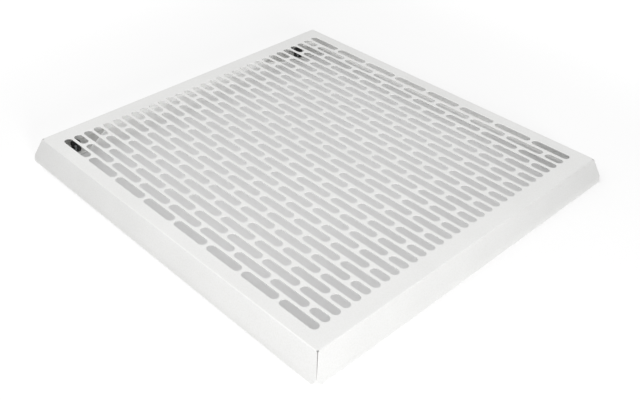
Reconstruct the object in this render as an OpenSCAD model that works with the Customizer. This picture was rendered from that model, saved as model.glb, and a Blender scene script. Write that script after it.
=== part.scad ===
// Square ceiling air diffuser front: a folded steel tray with a staggered slot pattern,
// held to the ceiling by four ball studs that snap into sockets on corner brackets.
// The tray lies face up: the rim that meets the ceiling is the plane z = 0, the face is on top.

/* [Tray] */
// Overall side of the square rim
rim_side = 595; // [420:1:900]
// Height of the face above the rim plane
tray_depth = 36.4; // [30:0.1:60]
// How far each flange leans out between the face and the rim
flange_lean = 13.4; // [6:0.1:22]
// Thickness of the sheet
sheet_t = 1; // [0.7:0.05:1.5]
// Outside radius of the folds round the face
fold_r = 2; // [1.6:0.1:4]
// Width of the open seam where two flanges meet at a corner
seam_gap = 0.8; // [0.3:0.05:1.2]
// Diameter of the relief hole at the head of each corner seam
relief_d = 3; // [2:0.1:5]
// Leg of the triangle flattened off each corner at the rim
corner_flat = 6.8; // [3:0.1:9]

/* [Slots] */
// Length of a full slot, end to end
slot_len = 60.6; // [30:0.1:90]
// Width of a slot, which is also the diameter of its round ends
slot_w = 12.6; // [8:0.1:16]
// Web left between two slots of one row
end_web = 4.8; // [3:0.1:10]
// Web left between neighbouring rows
row_web = 4.6; // [3:0.1:10]
// Least plain border between the slots and the fold
border_min = 18; // [12:0.5:40]

/* [Corner brackets] */
// Thickness of the bracket plate
bracket_t = 1.5; // [1:0.1:2.5]
// Height of the bracket's underside above the rim plane
bracket_z = 1.6; // [1.4:0.1:4]
// Reach of the bracket plate, from the rim inwards
bracket_reach = 39.4; // [36:0.1:60]
// Where the straight inner edge ends, measured from the adjoining rim
bracket_inner_end = 73.4; // [70:0.1:100]
// Where the bracket ends along its flange, measured from the adjoining rim
bracket_outer_end = 137.4; // [100:0.1:160]
// Leg of the triangle clipped off the bracket at the tray's corner
bracket_clip = 31.8; // [15:0.1:40]
// Height of the welded leg that leans against the flange
bracket_leg_h = 14; // [8:0.5:20]
// Clearance between the bracket and the flanges
weld_gap = 0.1; // [0.05:0.05:0.3]

/* [Snap sockets] */
// Distance of the socket's axis from the rim that carries its bracket
socket_from_rim = 25.7; // [22:0.1:28]
// Distance of the socket's axis from the adjoining rim
socket_from_end = 61.1; // [50:0.1:66]
// Outside diameter of the socket body
socket_d = 15.4; // [14:0.1:18]
// Diameter of the neck that sits in the bracket's hole
neck_d = 11.8; // [11:0.1:13]
// Diameter of the lip that holds the socket under the bracket
lip_d = 13.4; // [13.2:0.1:16]
// Thickness of the lip
lip_t = 1.1; // [0.8:0.1:1.2]
// Thickness of the closed crown over the ball
crown_t = 2.4; // [1.5:0.1:4]
// Radius round the edge of the crown
crown_r = 1.8; // [0.8:0.1:2.2]
// Width of the crossed slits that part the four jaws
slit_w = 4.6; // [2:0.1:5]
// Turn of the slits from the direction of the slotted rows
slit_turn = 35; // [0:1:45]
// Play between the socket and the edges of its bracket
seat_play = 0.1; // [0.05:0.05:0.2]

/* [Ball studs] */
// Diameter of the ball
ball_d = 8; // [7:0.1:9]
// Radial play between the ball and the jaws
ball_play = 0.1; // [0.05:0.01:0.2]
// Height of the ball's centre above the bracket plate
ball_rise = 7.4; // [6:0.1:9]
// Gap between the ball and the crown over it
crown_gap = 0.3; // [0.2:0.1:1]
// Diameter of the post that stands on the ceiling frame
post_d = 7.4; // [6:0.1:7.6]
// Height of the post
post_h = 5.2; // [4:0.1:6]
// Diameter of the neck under the ball
stud_neck_d = 5.2; // [4.4:0.1:6]
// Diameter of the tapped hole for the fixing screw
screw_hole_d = 3.3; // [2.5:0.1:4.2]
// Depth of the tapped hole
screw_hole_depth = 6; // [4:0.1:7]

/* [Hidden] */
// Each corner's name, with the side of X and of Y that it lies on
CORNERS = [
    ["left_front", -1, -1],
    ["left_back", -1, 1],
    ["right_front", 1, -1],
    ["right_back", 1, 1]
];
$fn = 48;
// Overlap of a cutting tool past the surface it cuts
cut = 1;
rim_half = rim_side / 2;
face_half = rim_half - flange_lean;
lean_angle = atan(flange_lean / tray_depth);
// Height at which a flattened corner runs out into its seam
corner_flat_top = corner_flat / 2 * tray_depth / flange_lean;
// The face runs flat to here, where the fold begins
fold_start = face_half - fold_r * tan((90 - lean_angle) / 2);
// Level thickness of a leaning flange
flange_level_t = sheet_t / cos(lean_angle);
// Slots repeat at these pitches and fill the face inside the least border
slot_pitch = slot_len + end_web;
row_pitch = slot_w + row_web;
slots_per_row = floor((2 * (face_half - border_min) + end_web) / slot_pitch);
slot_rows = floor((2 * (face_half - border_min) + row_web) / row_pitch);
// A staggered row starts and ends with one of these
short_slot_len = (slot_len - end_web) / 2;
row_span = slots_per_row * slot_pitch - end_web;
// Heights of the bracket, socket and ball
bracket_top = bracket_z + bracket_t;
ball_z = bracket_top + ball_rise;
bore_d = ball_d + 2 * ball_play;
bore_top = ball_z + ball_d / 2 + crown_gap;
socket_top = bore_top + crown_t;
lip_z = bracket_z - seat_play - lip_t;
// Lead-in cone at the mouth of the socket
mouth_chamfer = 0.6;
socket_x = rim_half - socket_from_rim;
socket_y = rim_half - socket_from_end;

// One slot with round ends, centred on the origin
module slot(length) {
    straight = length - slot_w;
    square([straight, slot_w], center = true);
    for (side = [-1, 1])
        translate([side * straight / 2, 0])
            circle(d = slot_w);
}

// A row of full slots
module full_row() {
    for (i = [0 : slots_per_row - 1])
        translate([-row_span / 2 + slot_len / 2 + i * slot_pitch, 0])
            slot(slot_len);
}

// A row shifted by half a pitch, with a short slot at each end
module staggered_row() {
    for (i = [0 : slots_per_row - 2])
        translate([-row_span / 2 + (slot_len + slot_pitch) / 2 + i * slot_pitch, 0])
            slot(slot_len);
    for (side = [-1, 1])
        translate([side * (row_span - short_slot_len) / 2, 0])
            slot(short_slot_len);
}

// The flat face with its slots
module slotted_face() {
    translate([0, 0, tray_depth - sheet_t])
        linear_extrude(sheet_t)
            difference() {
                square(2 * fold_start, center = true);
                for (row = [0 : slot_rows - 1])
                    translate([0, (row - (slot_rows - 1) / 2) * row_pitch])
                        if (row % 2 == 0) full_row();
                        else staggered_row();
            }
}

// Section of the fold and the leaning flange below it, x outwards and y up
module flange_section() {
    fold_centre = [fold_start, tray_depth - fold_r];
    lean_dir = [cos(lean_angle), sin(lean_angle)];
    reach = 2 * fold_r;
    translate(fold_centre)
        intersection() {
            difference() {
                circle(r = fold_r);
                circle(r = fold_r - sheet_t);
            }
            polygon([[0, 0], reach * lean_dir, [reach, reach], [0, reach]]);
        }
    polygon([
        fold_centre + fold_r * lean_dir,
        [rim_half, 0],
        [rim_half - flange_level_t, 0],
        fold_centre + (fold_r - sheet_t) * lean_dir
    ]);
}

// The fold and flange on the +X side, mitred to the seams and cut back at the flattened corners
module flange() {
    mitre = rim_half + cut;
    seam_shift = seam_gap / sqrt(2);
    seam_end = rim_half - (corner_flat - seam_shift) / 2;
    flat_end = rim_half - corner_flat - cut;
    intersection() {
        rotate([90, 0, 0])
            linear_extrude(2 * mitre, center = true)
                flange_section();
        linear_extrude(tray_depth + cut)
            polygon([
                [seam_shift, 0],
                [seam_end, seam_shift - seam_end],
                [mitre, -flat_end],
                [mitre, flat_end],
                [seam_end, seam_end - seam_shift]
            ]);
    }
}

// The welded and ground triangle that closes the corner between the +X and +Y flanges under its seam
module corner_triangle() {
    leg = corner_flat / sqrt(2);
    rotate(45)
        translate([rim_half * sqrt(2) - leg, 0, 0])
            rotate([90, 0, -90])
                linear_extrude(sheet_t)
                    polygon([[-leg, 0], [leg, 0], [0, corner_flat_top]]);
}

// The tray: one folded sheet with corner seams that are open down to the flattened corners
module face_plate() {
    color("white")
        difference() {
            union() {
                slotted_face();
                for (turn = [0 : 3])
                    rotate(90 * turn) {
                        flange();
                        corner_triangle();
                    }
            }
            for (turn = [0 : 3])
                rotate(90 * turn)
                    translate([fold_start, fold_start, tray_depth - fold_r - cut])
                        cylinder(d = relief_d, h = fold_r + 2 * cut);
        }
}

// Outline of a bracket seen from above, x inwards from its flange's rim and y from the adjoining rim
module bracket_outline() {
    end = (bracket_top + bracket_leg_h) * tan(lean_angle) + flange_level_t + weld_gap;
    polygon([
        [0, bracket_clip],
        [bracket_clip - end, end],
        [bracket_reach, end],
        [bracket_reach, bracket_inner_end],
        [0, bracket_outer_end]
    ]);
}

// Section of a bracket, x inwards from the rim and y up: the plate and the leg along the flange
module bracket_section() {
    slope = tan(lean_angle);
    back = flange_level_t + weld_gap / cos(lean_angle);
    leg = bracket_t / cos(lean_angle);
    leg_top = bracket_top + bracket_leg_h;
    polygon([
        [back + bracket_z * slope, bracket_z],
        [bracket_reach, bracket_z],
        [bracket_reach, bracket_top],
        [back + leg + bracket_top * slope, bracket_top],
        [back + leg + leg_top * slope, leg_top],
        [back + leg_top * slope, leg_top]
    ]);
}

// A bracket at the corner x = 0, y = 0 of the rim, with the hole for its socket
module bracket_blank() {
    difference() {
        intersection() {
            translate([0, bracket_outer_end, 0])
                rotate([90, 0, 0])
                    linear_extrude(bracket_outer_end)
                        bracket_section();
            linear_extrude(tray_depth)
                bracket_outline();
        }
        translate([socket_from_rim, socket_from_end, bracket_z - cut])
            cylinder(d = neck_d + 2 * seat_play, h = bracket_t + 2 * cut);
    }
}

// A bracket welded to the left or right flange, next to the corner with these signs
module bracket(side_x, side_y) {
    color("white")
        mirror([side_x > 0 ? 1 : 0, 0, 0])
            mirror([0, side_y > 0 ? 1 : 0, 0])
                translate([-rim_half, -rim_half, 0])
                    bracket_blank();
}

// Half section of the socket without its bore, x from the axis and y up
module socket_section() {
    square_top = socket_top - crown_r;
    translate([0, lip_z])
        square([lip_d / 2, lip_t]);
    translate([0, lip_z])
        square([neck_d / 2, bracket_top + seat_play + cut - lip_z]);
    translate([0, bracket_top + seat_play])
        square([socket_d / 2, square_top - bracket_top - seat_play]);
    translate([0, square_top - cut])
        square([socket_d / 2 - crown_r, crown_r + cut]);
    translate([socket_d / 2 - crown_r, square_top])
        intersection() {
            circle(r = crown_r);
            square(crown_r);
        }
}

// A socket: four jaws under a closed crown, with a lip that snaps through the bracket
module socket(side_x, side_y) {
    color("black")
        translate([side_x * socket_x, side_y * socket_y, 0])
            difference() {
                rotate_extrude()
                    socket_section();
                translate([0, 0, lip_z - cut])
                    cylinder(d = bore_d, h = bore_top - lip_z + cut);
                translate([0, 0, lip_z])
                    cylinder(d1 = bore_d + 2 * mouth_chamfer, d2 = bore_d, h = mouth_chamfer);
                for (turn = [0, 90])
                    rotate(turn - side_x * side_y * slit_turn)
                        translate([-socket_d, -slit_w / 2, lip_z - cut])
                            cube([2 * socket_d, slit_w, bore_top - lip_z + cut]);
            }
}

// A ball stud that stands on the ceiling frame, with a tapped hole for its screw
module stud(side_x, side_y) {
    color("silver")
        translate([side_x * socket_x, side_y * socket_y, 0])
            difference() {
                union() {
                    cylinder(d = post_d, h = post_h);
                    cylinder(d = stud_neck_d, h = ball_z);
                    translate([0, 0, ball_z])
                        sphere(d = ball_d);
                }
                translate([0, 0, -cut])
                    cylinder(d = screw_hole_d, h = screw_hole_depth + cut);
            }
}

face_plate();
for (corner = CORNERS) {
    bracket(corner[1], corner[2]);
    socket(corner[1], corner[2]);
    stud(corner[1], corner[2]);
}
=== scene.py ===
# Square ceiling air diffuser front, lying face up on its rim: a white powder-coated tray with
# staggered slots, four corner brackets, four black snap sockets and four zinc-plated ball studs.
# Metres in Blender, millimetres in the named sizes. The rim is the plane z = 0.
import math

import bmesh
import bpy
from mathutils import Matrix, Vector


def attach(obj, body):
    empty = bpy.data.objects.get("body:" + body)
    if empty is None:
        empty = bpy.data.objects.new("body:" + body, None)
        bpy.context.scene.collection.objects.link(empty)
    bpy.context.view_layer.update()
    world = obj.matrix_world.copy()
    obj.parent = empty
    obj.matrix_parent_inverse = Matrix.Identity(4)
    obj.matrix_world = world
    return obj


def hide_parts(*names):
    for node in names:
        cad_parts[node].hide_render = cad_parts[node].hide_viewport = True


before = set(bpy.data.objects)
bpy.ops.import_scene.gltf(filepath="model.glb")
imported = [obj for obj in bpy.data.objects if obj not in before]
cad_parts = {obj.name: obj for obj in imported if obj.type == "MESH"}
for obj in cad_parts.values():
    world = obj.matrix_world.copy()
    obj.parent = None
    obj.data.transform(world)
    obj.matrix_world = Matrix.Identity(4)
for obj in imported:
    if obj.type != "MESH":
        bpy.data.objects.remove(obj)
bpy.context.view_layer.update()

MM = 0.001

# The tray, from the part's source
RIM_SIDE = 595.0
TRAY_DEPTH = 36.4
FLANGE_LEAN = 13.4
SHEET_T = 1.0
FOLD_R = 2.0
SEAM_GAP = 0.8
RELIEF_D = 3.0
CORNER_FLAT = 6.8
SLOT_LEN = 60.6
SLOT_W = 12.6
END_WEB = 4.8
ROW_WEB = 4.6
SLOTS_PER_ROW = 8
SLOT_ROWS = 31

# The ball studs, from the part's source
SOCKET_FROM_RIM = 25.7
SOCKET_FROM_END = 61.1
BALL_D = 8.0
BALL_Z = 10.5
POST_D = 7.4
POST_H = 5.2
STUD_NECK_D = 5.2
SCREW_HOLE_D = 3.3
SCREW_HOLE_DEPTH = 6.0
THREAD_PITCH = 0.7
THREAD_DEPTH = 0.35

# Small trim on the studs: the drill's point, the end of the thread, chamfers and the neck's fillet
DRILL_POINT = 0.9
THREAD_START = 0.5
THREAD_STOP = 1.1
RUN_OUT = 1.0
RUN_OUT_TAPER = 0.2
MOUTH_CHAMFER = 0.4
FOOT_CHAMFER = 0.3
SHOULDER_CHAMFER = 0.4
NECK_FILLET = 0.25

# Rounding that the coat leaves on cut edges, and the least angle of an edge that gets it
TRAY_EDGE_R = 0.18
BRACKET_EDGE_R = 0.2
CUT_EDGE_ANGLE = math.radians(40)
# Edges of a stud that turn by more than this stay crisp
CRISP_EDGE_ANGLE = math.radians(35)

# Steps in a quarter round, a fold, a ball's half section, round a stud and in a turn of thread
ARC_STEPS = 6
FOLD_STEPS = 8
BALL_STEPS = 14
STUD_STEPS = 32
THREAD_STEPS = 20
RIDGE_SIDES = 4

# Distances under which two points are one
SKIN_WELD = 0.02
FINE_WELD = 0.005
SEAM_TOLERANCE = 0.01
# A point of a seam is mitred when it lies more than this above the seam's lower end
SEAM_END_MARGIN = 0.1

CORNERS = {
    "left_front": (-1, -1),
    "left_back": (-1, 1),
    "right_front": (1, -1),
    "right_back": (1, 1),
}

# What follows from them
RIM_HALF = RIM_SIDE / 2
FACE_HALF = RIM_HALF - FLANGE_LEAN
LEAN_ANGLE = math.atan2(FLANGE_LEAN, TRAY_DEPTH)
FOLD_START = FACE_HALF - FOLD_R * math.tan((math.pi / 2 - LEAN_ANGLE) / 2)
SEAM_SHIFT = SEAM_GAP / math.sqrt(2)
SEAM_END = RIM_HALF - (CORNER_FLAT - SEAM_SHIFT) / 2
SEAM_END_Z = TRAY_DEPTH * (RIM_HALF - SEAM_END) / FLANGE_LEAN
SLOT_PITCH = SLOT_LEN + END_WEB
ROW_PITCH = SLOT_W + ROW_WEB
SHORT_SLOT_LEN = (SLOT_LEN - END_WEB) / 2
ROW_SPAN = SLOTS_PER_ROW * SLOT_PITCH - END_WEB
SOCKET_X = RIM_HALF - SOCKET_FROM_RIM
SOCKET_Y = RIM_HALF - SOCKET_FROM_END


def linear(hex_colour):
    """sRGB hex to a linear RGBA colour."""
    channels = [int(hex_colour[i:i + 2], 16) / 255 for i in (1, 3, 5)]
    return [c / 12.92 if c <= 0.04045 else ((c + 0.055) / 1.055) ** 2.4 for c in channels] + [1.0]


def add(tree, kind, settings=None, inputs=None):
    """Adds a node. Settings are its properties; inputs are its sockets' values, or the sockets that
    are linked to them."""
    node = tree.nodes.new(kind)
    for name, value in (settings or {}).items():
        setattr(node, name, value)
    for name, value in (inputs or {}).items():
        socket = node.inputs[name]
        if isinstance(value, bpy.types.NodeSocket):
            tree.links.new(value, socket)
        else:
            socket.default_value = value
    return node


def new_material(name):
    """An empty node material and its Principled shader."""
    material = bpy.data.materials.new(name)
    material.use_nodes = True
    return material, material.node_tree, material.node_tree.nodes["Principled BSDF"]


def per_metre(size_mm):
    """Pattern scale that gives features of about this size."""
    return 1 / (size_mm * MM)


def powder_coated_steel():
    """Polyester powder coat, stoved on steel sheet: matte white, with a faint orange peel in the
    gloss and a hardly visible unevenness where the coat is thicker."""
    material, tree, shader = new_material("powder_coated_steel")
    place = add(tree, "ShaderNodeTexCoord").outputs["Object"]
    # Coat thickness drifts over a hand's breadth
    drift = add(tree, "ShaderNodeTexNoise", inputs={
        "Vector": place, "Scale": per_metre(90), "Detail": 2.0})
    # Powder grains, drawn at 1.8 mm instead of the real 0.1 mm so that they show
    grain = add(tree, "ShaderNodeTexNoise", inputs={
        "Vector": place, "Scale": per_metre(1.8), "Detail": 3.0, "Roughness": 0.6})
    # Orange peel, drawn at 3 mm instead of the real 1 mm so that it shows
    peel = add(tree, "ShaderNodeTexNoise", inputs={
        "Vector": place, "Scale": per_metre(3.0), "Detail": 1.0})
    white = add(tree, "ShaderNodeValToRGB", inputs={"Fac": drift.outputs["Fac"]})
    white.color_ramp.elements[0].position = 0.3
    white.color_ramp.elements[0].color = linear("#E6E6E5")
    white.color_ramp.elements[1].position = 0.7
    white.color_ramp.elements[1].color = linear("#EAEAE9")
    speck = add(tree, "ShaderNodeValToRGB", inputs={"Fac": grain.outputs["Fac"]})
    speck.color_ramp.elements[0].position = 0.3
    speck.color_ramp.elements[0].color = linear("#F9F9F8")
    speck.color_ramp.elements[1].position = 0.6
    speck.color_ramp.elements[1].color = linear("#FFFFFF")
    colour = add(tree, "ShaderNodeMix", {"data_type": "RGBA", "blend_type": "MULTIPLY"}, {
        "Factor": 1.0, "A": white.outputs["Color"], "B": speck.outputs["Color"]})
    gloss = add(tree, "ShaderNodeMapRange", inputs={
        "Value": peel.outputs["Fac"], "From Min": 0.3, "From Max": 0.7,
        "To Min": 0.5, "To Max": 0.6})
    bump = add(tree, "ShaderNodeBump", inputs={
        "Height": peel.outputs["Fac"], "Strength": 0.08, "Distance": 0.15 * MM})
    tree.links.new(colour.outputs["Result"], shader.inputs["Base Color"])
    tree.links.new(gloss.outputs["Result"], shader.inputs["Roughness"])
    tree.links.new(bump.outputs["Normal"], shader.inputs["Normal"])
    return material


def moulded_black_polyamide():
    """Polyamide moulded in a spark-eroded tool: black, satin, with a fine grain that breaks up the
    gloss, and paler rubbed patches."""
    material, tree, shader = new_material("moulded_black_polyamide")
    place = add(tree, "ShaderNodeTexCoord").outputs["Object"]
    # Tool grain, drawn at 0.5 mm instead of the real 0.05 mm so that it shows
    grain = add(tree, "ShaderNodeTexNoise", inputs={
        "Vector": place, "Scale": per_metre(0.5), "Detail": 2.0})
    # Patches of wear, about 6 mm across
    rub = add(tree, "ShaderNodeTexNoise", inputs={
        "Vector": place, "Scale": per_metre(6), "Detail": 4.0, "Roughness": 0.7})
    colour = add(tree, "ShaderNodeValToRGB", inputs={"Fac": rub.outputs["Fac"]})
    colour.color_ramp.elements[0].position = 0.45
    colour.color_ramp.elements[0].color = linear("#141414")
    colour.color_ramp.elements[1].position = 0.8
    colour.color_ramp.elements[1].color = linear("#262625")
    gloss = add(tree, "ShaderNodeMapRange", inputs={
        "Value": grain.outputs["Fac"], "From Min": 0.3, "From Max": 0.7,
        "To Min": 0.42, "To Max": 0.6})
    bump = add(tree, "ShaderNodeBump", inputs={
        "Height": grain.outputs["Fac"], "Strength": 0.25, "Distance": 0.06 * MM})
    tree.links.new(colour.outputs["Color"], shader.inputs["Base Color"])
    tree.links.new(gloss.outputs["Result"], shader.inputs["Roughness"])
    tree.links.new(bump.outputs["Normal"], shader.inputs["Normal"])
    return material


def zinc_plated_steel():
    """Turned steel, zinc plated and clear passivated: bluish silver, with fine rings left by the
    tool and a slightly cloudy gloss."""
    material, tree, shader = new_material("zinc_plated_steel")
    place = add(tree, "ShaderNodeTexCoord").outputs["Object"]
    # Clouds in the plating, about 2.5 mm across
    cloud = add(tree, "ShaderNodeTexNoise", inputs={
        "Vector": place, "Scale": per_metre(2.5), "Detail": 3.0})
    # Tool rings round the stud, drawn 0.35 mm apart instead of the real 0.08 mm so that they show.
    # A wave texture runs through 20 radians in each unit of its scale.
    rings = add(tree, "ShaderNodeTexWave", {"wave_type": "BANDS", "bands_direction": "Z"}, {
        "Vector": place, "Scale": per_metre(0.35) / 20 * math.tau,
        "Distortion": 0.4, "Detail": 1.0})
    colour = add(tree, "ShaderNodeValToRGB", inputs={"Fac": cloud.outputs["Fac"]})
    colour.color_ramp.elements[0].position = 0.35
    colour.color_ramp.elements[0].color = linear("#C4C7CA")
    colour.color_ramp.elements[1].position = 0.7
    colour.color_ramp.elements[1].color = linear("#DCDEE0")
    gloss = add(tree, "ShaderNodeMapRange", inputs={
        "Value": cloud.outputs["Fac"], "From Min": 0.3, "From Max": 0.7,
        "To Min": 0.36, "To Max": 0.5})
    bump = add(tree, "ShaderNodeBump", inputs={
        "Height": rings.outputs["Fac"], "Strength": 0.2, "Distance": 0.03 * MM})
    shader.inputs["Metallic"].default_value = 1.0
    tree.links.new(colour.outputs["Color"], shader.inputs["Base Color"])
    tree.links.new(gloss.outputs["Result"], shader.inputs["Roughness"])
    tree.links.new(bump.outputs["Normal"], shader.inputs["Normal"])
    return material


POWDER_COAT = powder_coated_steel()
BLACK_PLASTIC = moulded_black_polyamide()
ZINC_STEEL = zinc_plated_steel()


def new_object(name, mesh):
    """Puts a mesh into the scene under this name."""
    piece = bpy.data.objects.new(name, mesh)
    bpy.context.scene.collection.objects.link(piece)
    return piece


def settle(piece, modifier_inputs):
    """Sets a Geometry Nodes modifier's inputs by name, and returns the result as a plain mesh."""
    modifier = piece.modifiers[0]
    for item in modifier.node_group.interface.items_tree:
        if item.name in modifier_inputs:
            modifier[item.identifier] = modifier_inputs[item.name]
    depsgraph = bpy.context.evaluated_depsgraph_get()
    mesh = bpy.data.meshes.new_from_object(piece.evaluated_get(depsgraph))
    piece.modifiers.remove(modifier)
    return mesh


def open_sockets(tree, direction, kind, names):
    """Gives a node group sockets of one kind under these names."""
    for name in names:
        tree.interface.new_socket(name, in_out=direction, socket_type=kind)


def slot_field_tree():
    """Geometry Nodes: the outlines of one kind of slot, with round ends, repeated over a grid."""
    tree = bpy.data.node_groups.new("slot_field", "GeometryNodeTree")
    open_sockets(tree, "INPUT", "NodeSocketFloat", ("Length", "Width", "Column Pitch", "Row Pitch"))
    open_sockets(tree, "INPUT", "NodeSocketInt", ("Columns", "Rows", "Arc Steps"))
    open_sockets(tree, "OUTPUT", "NodeSocketGeometry", ("Slots",))
    given = add(tree, "NodeGroupInput").outputs
    spans = []
    for count, pitch in (("Columns", "Column Pitch"), ("Rows", "Row Pitch")):
        gaps = add(tree, "ShaderNodeMath", {"operation": "SUBTRACT"}, {0: given[count], 1: 1.0})
        spans.append(add(tree, "ShaderNodeMath", {"operation": "MULTIPLY"}, {
            0: gaps.outputs[0], 1: given[pitch]}).outputs[0])
    places = add(tree, "GeometryNodeMeshGrid", inputs={
        "Size X": spans[0], "Size Y": spans[1],
        "Vertices X": given["Columns"], "Vertices Y": given["Rows"]})
    box = add(tree, "GeometryNodeCurvePrimitiveQuadrilateral", inputs={
        "Width": given["Length"], "Height": given["Width"]})
    # A hair under half the width, so that no two points of a round end fall together
    end_r = add(tree, "ShaderNodeMath", {"operation": "MULTIPLY"}, {0: given["Width"], 1: 0.4999})
    slot = add(tree, "GeometryNodeFilletCurve", {"mode": "POLY"}, {
        "Curve": box.outputs["Curve"], "Count": given["Arc Steps"], "Radius": end_r.outputs[0]})
    copies = add(tree, "GeometryNodeInstanceOnPoints", inputs={
        "Points": places.outputs["Mesh"], "Instance": slot.outputs["Curve"]})
    add(tree, "NodeGroupOutput", inputs={"Slots": copies.outputs["Instances"]})
    return tree


def slotted_sheet_tree():
    """Geometry Nodes: takes the outline of the flat face as edges, and fills it round three kinds
    of slot: the full rows, the staggered rows between them, and the short slots that end a
    staggered row."""
    tree = bpy.data.node_groups.new("slotted_sheet", "GeometryNodeTree")
    kinds = ("Full", "Staggered", "Short")
    open_sockets(tree, "INPUT", "NodeSocketGeometry", ("Outline",))
    for kind in kinds:
        lengths = (kind + " Length", kind + " Column Pitch")
        open_sockets(tree, "INPUT", "NodeSocketFloat", lengths)
        open_sockets(tree, "INPUT", "NodeSocketInt", (kind + " Columns", kind + " Rows"))
    open_sockets(tree, "INPUT", "NodeSocketFloat", ("Slot Width", "Row Pitch"))
    open_sockets(tree, "INPUT", "NodeSocketInt", ("Arc Steps",))
    open_sockets(tree, "INPUT", "NodeSocketMaterial", ("Material",))
    open_sockets(tree, "OUTPUT", "NodeSocketGeometry", ("Sheet",))
    given = add(tree, "NodeGroupInput").outputs
    edge = add(tree, "GeometryNodeMeshToCurve", inputs={"Mesh": given["Outline"]})
    together = add(tree, "GeometryNodeJoinGeometry", inputs={"Geometry": edge.outputs["Curve"]})
    field_tree = slot_field_tree()
    for kind in kinds:
        field = add(tree, "GeometryNodeGroup", {"node_tree": field_tree}, {
            "Length": given[kind + " Length"], "Width": given["Slot Width"],
            "Column Pitch": given[kind + " Column Pitch"], "Row Pitch": given["Row Pitch"],
            "Columns": given[kind + " Columns"], "Rows": given[kind + " Rows"],
            "Arc Steps": given["Arc Steps"]})
        tree.links.new(field.outputs["Slots"], together.inputs["Geometry"])
    real = add(tree, "GeometryNodeRealizeInstances", inputs={
        "Geometry": together.outputs["Geometry"]})
    filled = add(tree, "GeometryNodeFillCurve", {"mode": "TRIANGLES"}, {
        "Curve": real.outputs["Geometry"]})
    painted = add(tree, "GeometryNodeSetMaterial", inputs={
        "Geometry": filled.outputs["Mesh"], "Material": given["Material"]})
    add(tree, "NodeGroupOutput", inputs={"Sheet": painted.outputs["Geometry"]})
    return tree


def face_outline():
    """Outline of the flat face between the folds, with a quarter round for the relief hole at each
    corner."""
    points = []
    for turn in range(4):
        for k in range(ARC_STEPS + 1):
            angle = math.pi * 1.5 - math.pi / 2 * k / ARC_STEPS
            corner = Vector((FOLD_START + RELIEF_D / 2 * math.cos(angle),
                             FOLD_START + RELIEF_D / 2 * math.sin(angle)))
            corner.rotate(Matrix.Rotation(math.pi / 2 * turn, 2))
            points.append((corner.x * MM, corner.y * MM, 0.0))
    mesh = bpy.data.meshes.new("face_outline")
    mesh.from_pydata(points, [(i, (i + 1) % len(points)) for i in range(len(points))], [])
    return mesh


def slotted_face():
    """The flat face as a single skin at its outer surface, made by Geometry Nodes."""
    piece = new_object("face_outline", face_outline())
    piece.modifiers.new("slots", "NODES").node_group = slotted_sheet_tree()
    full_rows = (SLOT_ROWS + 1) // 2
    mesh = settle(piece, {
        "Full Length": SLOT_LEN * MM, "Full Column Pitch": SLOT_PITCH * MM,
        "Full Columns": SLOTS_PER_ROW, "Full Rows": full_rows,
        "Staggered Length": SLOT_LEN * MM, "Staggered Column Pitch": SLOT_PITCH * MM,
        "Staggered Columns": SLOTS_PER_ROW - 1, "Staggered Rows": full_rows - 1,
        "Short Length": SHORT_SLOT_LEN * MM,
        "Short Column Pitch": (ROW_SPAN - SHORT_SLOT_LEN) * MM,
        "Short Columns": 2, "Short Rows": full_rows - 1,
        "Slot Width": SLOT_W * MM, "Row Pitch": 2 * ROW_PITCH * MM,
        "Arc Steps": ARC_STEPS, "Material": POWDER_COAT})
    bpy.data.objects.remove(piece)
    mesh.transform(Matrix.Translation((0, 0, TRAY_DEPTH * MM)))
    return mesh


def flange_rows():
    """The outer skin of one flange as rows from the face to the rim, each with its distance out,
    height and half length."""
    rows = []
    relief_r = RELIEF_D / 2
    for k in range(FOLD_STEPS + 1):
        angle = (math.pi / 2 - LEAN_ANGLE) * k / FOLD_STEPS
        past = FOLD_R * math.sin(angle)
        out = FOLD_START + past
        if past < relief_r:
            half = FOLD_START - math.sqrt(relief_r ** 2 - past ** 2)
        else:
            half = out - SEAM_SHIFT
        rows.append((out, TRAY_DEPTH - FOLD_R + FOLD_R * math.cos(angle), half))
    # The seam runs straight down to the flattened corner, which widens towards the rim
    rows.append((SEAM_END, SEAM_END_Z, SEAM_END - SEAM_SHIFT))
    rows.append((RIM_HALF, 0.0, RIM_HALF - CORNER_FLAT))
    return rows


def tray_skin():
    """The slotted face, four flanges and the flattened corners as one skin at their outer
    surface."""
    shape = bmesh.new()
    shape.from_mesh(slotted_face())
    flanges = []
    for turn in range(4):
        spin = Matrix.Rotation(math.pi / 2 * turn, 4, "Z")
        rows = [
            [shape.verts.new(spin @ Vector((out, side * half, height)) * MM) for side in (-1, 1)]
            for out, height, half in flange_rows()
        ]
        for upper, lower in zip(rows, rows[1:]):
            shape.faces.new((upper[0], lower[0], lower[1], upper[1])).smooth = True
        flanges.append(rows)
    for this, following in zip(flanges, flanges[1:] + flanges[:1]):
        shape.faces.new((this[-2][1], this[-1][1], following[-1][0], following[-2][0]))
    bmesh.ops.remove_doubles(shape, verts=shape.verts, dist=SKIN_WELD * MM)
    bmesh.ops.recalc_face_normals(shape, faces=shape.faces)
    mesh = bpy.data.meshes.new("tray")
    shape.to_mesh(mesh)
    shape.free()
    mesh.materials.clear()
    mesh.materials.append(POWDER_COAT)
    return mesh


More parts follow.
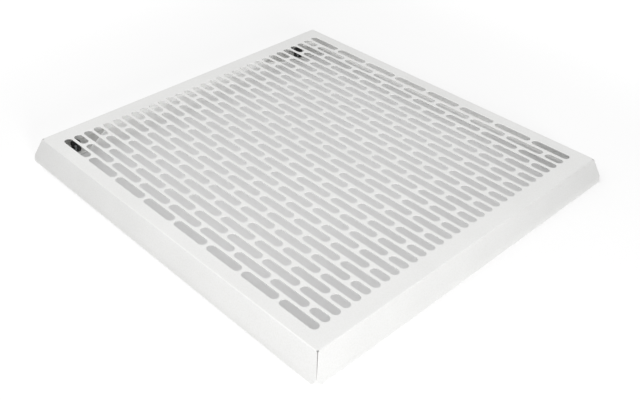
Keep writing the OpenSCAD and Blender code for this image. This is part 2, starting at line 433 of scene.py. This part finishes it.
def tray():
    """The folded tray: its skin gets the sheet's thickness and slightly rounded edges."""
    piece = new_object("tray", tray_skin())
    sheet = piece.modifiers.new("sheet", "SOLIDIFY")
    sheet.thickness = SHEET_T * MM
    sheet.offset = -1.0
    sheet.use_even_offset = True
    depsgraph = bpy.context.evaluated_depsgraph_get()
    skin_size = len(piece.data.vertices)
    piece.data = bpy.data.meshes.new_from_object(piece.evaluated_get(depsgraph))
    piece.modifiers.clear()
    points = [vertex.co for vertex in piece.data.vertices]
    for point in points:
        # The leaning flanges are cut level along the rim
        point.z = max(point.z, 0.0)
    for outer, inner in zip(points, points[skin_size:]):
        # Both sides of a seam are mitred through the sheet, so that it stays open
        from_mitre = abs(abs(outer.x) - abs(outer.y))
        beside_seam = abs(from_mitre - SEAM_SHIFT * MM) < SEAM_TOLERANCE * MM
        if beside_seam and outer.z > (SEAM_END_Z + SEAM_END_MARGIN) * MM:
            if abs(outer.x) > abs(outer.y):
                inner.y = math.copysign(abs(inner.x) - SEAM_SHIFT * MM, inner.y)
            else:
                inner.x = math.copysign(abs(inner.y) - SEAM_SHIFT * MM, inner.x)
    soften(piece, TRAY_EDGE_R)
    return piece


def soften(piece, width):
    """Rounds the sharp edges of a piece, as a coat of paint does, by this many millimetres."""
    edges = piece.modifiers.new("soft_edges", "BEVEL")
    edges.width = width * MM
    edges.segments = 2
    edges.limit_method = "ANGLE"
    edges.angle_limit = CUT_EDGE_ANGLE
    edges.use_clamp_overlap = False


def thread_tree():
    """Geometry Nodes: sweeps a ridge along a helix, for the thread in a stud's screw hole."""
    tree = bpy.data.node_groups.new("hole_thread", "GeometryNodeTree")
    lengths = ("Root Radius", "Pitch", "Length", "Ridge Radius")
    open_sockets(tree, "INPUT", "NodeSocketGeometry", ("Geometry",))
    open_sockets(tree, "INPUT", "NodeSocketFloat", lengths)
    open_sockets(tree, "INPUT", "NodeSocketMaterial", ("Material",))
    open_sockets(tree, "OUTPUT", "NodeSocketGeometry", ("Thread",))
    given = add(tree, "NodeGroupInput").outputs
    turns = add(tree, "ShaderNodeMath", {"operation": "DIVIDE"}, {
        0: given["Length"], 1: given["Pitch"]})
    # The helix is reversed so that the thread is right-handed
    helix = add(tree, "GeometryNodeCurveSpiral", inputs={
        "Resolution": THREAD_STEPS, "Rotations": turns.outputs[0],
        "Start Radius": given["Root Radius"], "End Radius": given["Root Radius"],
        "Height": given["Length"], "Reverse": True})
    upright = add(tree, "GeometryNodeSetCurveNormal", {"mode": "Z_UP"}, {
        "Curve": helix.outputs["Curve"]})
    ridge = add(tree, "GeometryNodeCurvePrimitiveCircle", inputs={
        "Resolution": RIDGE_SIDES, "Radius": given["Ridge Radius"]})
    swept = add(tree, "GeometryNodeCurveToMesh", inputs={
        "Curve": upright.outputs["Curve"], "Profile Curve": ridge.outputs["Curve"],
        "Fill Caps": True})
    real = add(tree, "GeometryNodeRealizeInstances", inputs={"Geometry": swept.outputs["Mesh"]})
    painted = add(tree, "GeometryNodeSetMaterial", inputs={
        "Geometry": real.outputs["Geometry"], "Material": given["Material"]})
    add(tree, "NodeGroupOutput", inputs={"Thread": painted.outputs["Geometry"]})
    return tree


def hole_thread(tree):
    """The thread as a mesh on the axis of a stud, from just inside the mouth of its screw hole."""
    piece = new_object("hole_thread", bpy.data.meshes.new("hole_thread"))
    piece.modifiers.new("thread", "NODES").node_group = tree
    mesh = settle(piece, {
        "Root Radius": (SCREW_HOLE_D / 2 + THREAD_DEPTH) * MM, "Pitch": THREAD_PITCH * MM,
        "Length": (SCREW_HOLE_DEPTH - THREAD_START - THREAD_STOP) * MM,
        "Ridge Radius": THREAD_DEPTH * MM, "Material": ZINC_STEEL})
    bpy.data.objects.remove(piece)
    mesh.transform(Matrix.Translation((0, 0, THREAD_START * MM)))
    return mesh


def stud_outline():
    """Half section of a stud, from the end of its screw hole to the top of its ball, as points with
    a radius and a height."""
    hole_r = SCREW_HOLE_D / 2
    root_r = hole_r + THREAD_DEPTH
    post_r = POST_D / 2
    neck_r = STUD_NECK_D / 2
    ball_r = BALL_D / 2
    points = [
        (0, SCREW_HOLE_DEPTH + DRILL_POINT),
        (hole_r, SCREW_HOLE_DEPTH),
        (hole_r, SCREW_HOLE_DEPTH - RUN_OUT + RUN_OUT_TAPER),
        (root_r, SCREW_HOLE_DEPTH - RUN_OUT),
        (root_r, MOUTH_CHAMFER),
        (root_r + MOUTH_CHAMFER, 0),
        (post_r - FOOT_CHAMFER, 0),
        (post_r, FOOT_CHAMFER),
        (post_r, POST_H - SHOULDER_CHAMFER),
        (post_r - SHOULDER_CHAMFER, POST_H),
        (neck_r + NECK_FILLET, POST_H),
        (neck_r, POST_H + NECK_FILLET),
    ]
    under = math.acos(neck_r / ball_r)
    for k in range(BALL_STEPS):
        angle = -under + (math.pi / 2 + under) * k / BALL_STEPS
        points.append((ball_r * math.cos(angle), BALL_Z + ball_r * math.sin(angle)))
    points.append((0, BALL_Z + ball_r))
    return points


def ball_stud(corner, thread):
    """A ball stud: turned body with a threaded hole for its screw."""
    side_x, side_y = CORNERS[corner]
    shape = bmesh.new()
    outline = [shape.verts.new((radius * MM, 0, height * MM)) for radius, height in stud_outline()]
    edges = [shape.edges.new(pair) for pair in zip(outline, outline[1:])]
    bmesh.ops.spin(
        shape, geom=outline + edges, cent=(0, 0, 0), axis=(0, 0, 1),
        angle=math.tau, steps=STUD_STEPS)
    bmesh.ops.remove_doubles(shape, verts=shape.verts, dist=FINE_WELD * MM)
    bmesh.ops.recalc_face_normals(shape, faces=shape.faces)
    shape.from_mesh(thread)
    place = Vector((side_x * SOCKET_X, side_y * SOCKET_Y, 0)) * MM
    bmesh.ops.translate(shape, verts=shape.verts, vec=place)
    for face in shape.faces:
        face.smooth = True
    for edge in shape.edges:
        edge.smooth = edge.calc_face_angle(0) < CRISP_EDGE_ANGLE
    mesh = bpy.data.meshes.new("ball_stud_" + corner)
    shape.to_mesh(mesh)
    shape.free()
    mesh.materials.clear()
    mesh.materials.append(ZINC_STEEL)
    return new_object("ball_stud_" + corner, mesh)


def dress_cad_nodes():
    """The brackets and sockets keep their solids and get their real finish, and the coat softens
    the brackets' cut edges."""
    finishes = {"bracket": POWDER_COAT, "socket": BLACK_PLASTIC}
    for name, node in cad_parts.items():
        kind = name.split("_")[0]
        if kind in finishes:
            node.data.materials.clear()
            node.data.materials.append(finishes[kind])
        if kind == "bracket":
            joined = node.modifiers.new("joined", "WELD")
            joined.merge_threshold = FINE_WELD * MM
            soften(node, BRACKET_EDGE_R)


def floor_sheet():
    """A pale paper floor: light grey under the tray, and white to the eye around it. Inside the
    left and the right rim the floor is painted paler, a painted light strip. This strip and the
    foot of each flange also give off painted light: a glow that the camera doesn't see, which
    brightens the flanges' inner faces."""
    material, tree, shader = new_material("floor_paper")
    place = add(tree, "ShaderNodeTexCoord").outputs["Object"]
    parts = add(tree, "ShaderNodeSeparateXYZ", inputs={"Vector": place})
    across = add(tree, "ShaderNodeMath", {"operation": "ABSOLUTE"}, {0: parts.outputs["X"]})
    along = add(tree, "ShaderNodeMath", {"operation": "ABSOLUTE"}, {0: parts.outputs["Y"]})
    reach = add(tree, "ShaderNodeMath", {"operation": "MAXIMUM"}, {
        0: across.outputs[0], 1: along.outputs[0]})
    # Each zone's level rises from low to high between two distances from the middle, in millimetres
    zones = {}
    for name, distance, start, end, low, high in (
        ("painted_strip", across, 254, 275, 0.0, 1.0),
        ("foot", reach, 283, 291, 0.0, 0.45),
        ("away", reach, 290, 305, 0.0, 1.0),
        ("far", reach, 400, 1400, 0.56, 0.9),
    ):
        zone = add(tree, "ShaderNodeMapRange", {"interpolation_type": "SMOOTHSTEP"}, {
            "Value": distance.outputs[0], "From Min": start * MM, "From Max": end * MM,
            "To Min": low, "To Max": high})
        zones[name] = zone.outputs["Result"]
    # Painted light: inside the left and right rims the floor is painted paler than under the middle
    # of the tray
    inside = add(tree, "ShaderNodeMix", {"data_type": "RGBA"}, {
        "Factor": zones["painted_strip"], "A": linear("#E5E5E5"), "B": linear("#FCFCFC")})
    paper = add(tree, "ShaderNodeMix", {"data_type": "RGBA"}, {
        "Factor": zones["away"], "A": inside.outputs["Result"], "B": linear("#B0B0B0")})
    # Painted light: the paler strip also glows, for all but camera rays
    painted_strip_glow = 0.4
    side = add(tree, "ShaderNodeMath", {"operation": "MULTIPLY"}, {0: zones["painted_strip"], 1: painted_strip_glow})
    # Painted light: the strip's glow joined with a glow along the foot of each flange
    strip = add(tree, "ShaderNodeMath", {"operation": "MAXIMUM"}, {
        0: side.outputs[0], 1: zones["foot"]})
    # Painted light: the floor's glow near the rims, for all but camera rays, gone beyond the rim
    painted_glow = add(tree, "ShaderNodeMix", inputs={
        "Factor": zones["away"], "A": strip.outputs[0], "B": 0.0})
    lift = add(tree, "ShaderNodeMath", {"operation": "MULTIPLY"}, {
        0: zones["away"], 1: zones["far"]})
    seen = add(tree, "ShaderNodeLightPath")
    straight = add(tree, "ShaderNodeMath", {"operation": "MAXIMUM"}, {
        0: seen.outputs["Is Camera Ray"], 1: seen.outputs["Is Glossy Ray"]})
    glow = add(tree, "ShaderNodeMix", inputs={
        "Factor": straight.outputs[0], "A": painted_glow.outputs[0], "B": lift.outputs[0]})
    tree.links.new(paper.outputs["Result"], shader.inputs["Base Color"])
    tree.links.new(glow.outputs["Result"], shader.inputs["Emission Strength"])
    shader.inputs["Emission Color"].default_value = (1, 1, 1, 1)
    shader.inputs["Roughness"].default_value = 0.9
    shader.inputs["Specular IOR Level"].default_value = 0.1
    half = 6.0
    corners = [(-half, -half, 0), (half, -half, 0), (half, half, 0), (-half, half, 0)]
    mesh = bpy.data.meshes.new("floor")
    mesh.from_pydata(corners, [], [(0, 1, 2, 3)])
    mesh.materials.append(material)
    new_object("floor", mesh)


def studio_light():
    """A white studio that is brightest overhead and on the left, with a large lamp low on the right
    and a weak one above the front."""
    level = 0.37
    slope = (-0.4, -0.13, 0.55)
    least = 0.05
    target = Vector((0.0, 0.0, 0.03))
    world = bpy.data.worlds.new("studio")
    bpy.context.scene.world = world
    world.use_nodes = True
    tree = world.node_tree
    rise = add(tree, "ShaderNodeVectorMath", {"operation": "DOT_PRODUCT"}, {
        0: add(tree, "ShaderNodeTexCoord").outputs["Generated"], 1: slope})
    graded = add(tree, "ShaderNodeMath", {"operation": "ADD"}, {
        0: rise.outputs["Value"], 1: level})
    light = add(tree, "ShaderNodeMath", {"operation": "MAXIMUM"}, {
        0: graded.outputs[0], 1: least})
    seen = add(tree, "ShaderNodeLightPath")
    strength = add(tree, "ShaderNodeMix", inputs={
        "Factor": seen.outputs["Is Camera Ray"], "A": light.outputs[0], "B": 1.0})
    sky = tree.nodes["Background"]
    sky.inputs["Color"].default_value = (1, 1, 1, 1)
    tree.links.new(strength.outputs["Result"], sky.inputs["Strength"])
    for name, place, size, energy in (
        ("side_lamp", (2.75, -1.15, 0.68), 1.0, 51.0),
        ("top_lamp", (0.05, -0.75, 1.2), 1.2, 4.0),
    ):
        lamp = bpy.data.lights.new(name, "AREA")
        lamp.shape = "DISK"
        lamp.size = size
        lamp.energy = energy
        stand = bpy.data.objects.new(name, lamp)
        stand.location = place
        aim = target - stand.location
        stand.rotation_euler = aim.to_track_quat("-Z", "Y").to_euler()
        bpy.context.scene.collection.objects.link(stand)


def photo_camera():
    """The photograph's viewpoint, fitted to the slots and the rim. The lens axis is off the middle
    of the picture."""
    image_width, image_height = 640, 400
    focal_px = 861.9
    axis_px = (245.8, 182.4)
    place = Vector((714.61, -779.44, 723.44)) * MM
    forward = Vector((-0.60495, 0.54621, -0.57938)).normalized()
    right = Vector((0.66645, 0.74552, 0.00698))
    right = (right - forward * right.dot(forward)).normalized()
    up = right.cross(forward)
    camera = bpy.data.cameras.new("photo_camera")
    camera.sensor_width = 36.0
    camera.lens = focal_px / image_width * camera.sensor_width
    camera.shift_x = (image_width / 2 - axis_px[0]) / image_width
    camera.shift_y = (axis_px[1] - image_height / 2) / image_width
    camera.clip_start = 0.01
    view = bpy.data.objects.new("photo_camera", camera)
    turn = Matrix((right, up, -forward)).transposed().to_4x4()
    view.matrix_world = Matrix.Translation(place) @ turn
    bpy.context.scene.collection.objects.link(view)
    bpy.context.scene.camera = view


photo_camera()
bpy.context.scene.view_settings.view_transform = "Standard"

tray_piece = tray()
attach(tray_piece, "front")
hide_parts("face_plate")

thread_mesh = hole_thread(thread_tree())
for corner in CORNERS:
    stud = ball_stud(corner, thread_mesh)
    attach(stud, "ceiling_studs")
    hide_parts("stud_" + corner)

dress_cad_nodes()
floor_sheet()
studio_light()
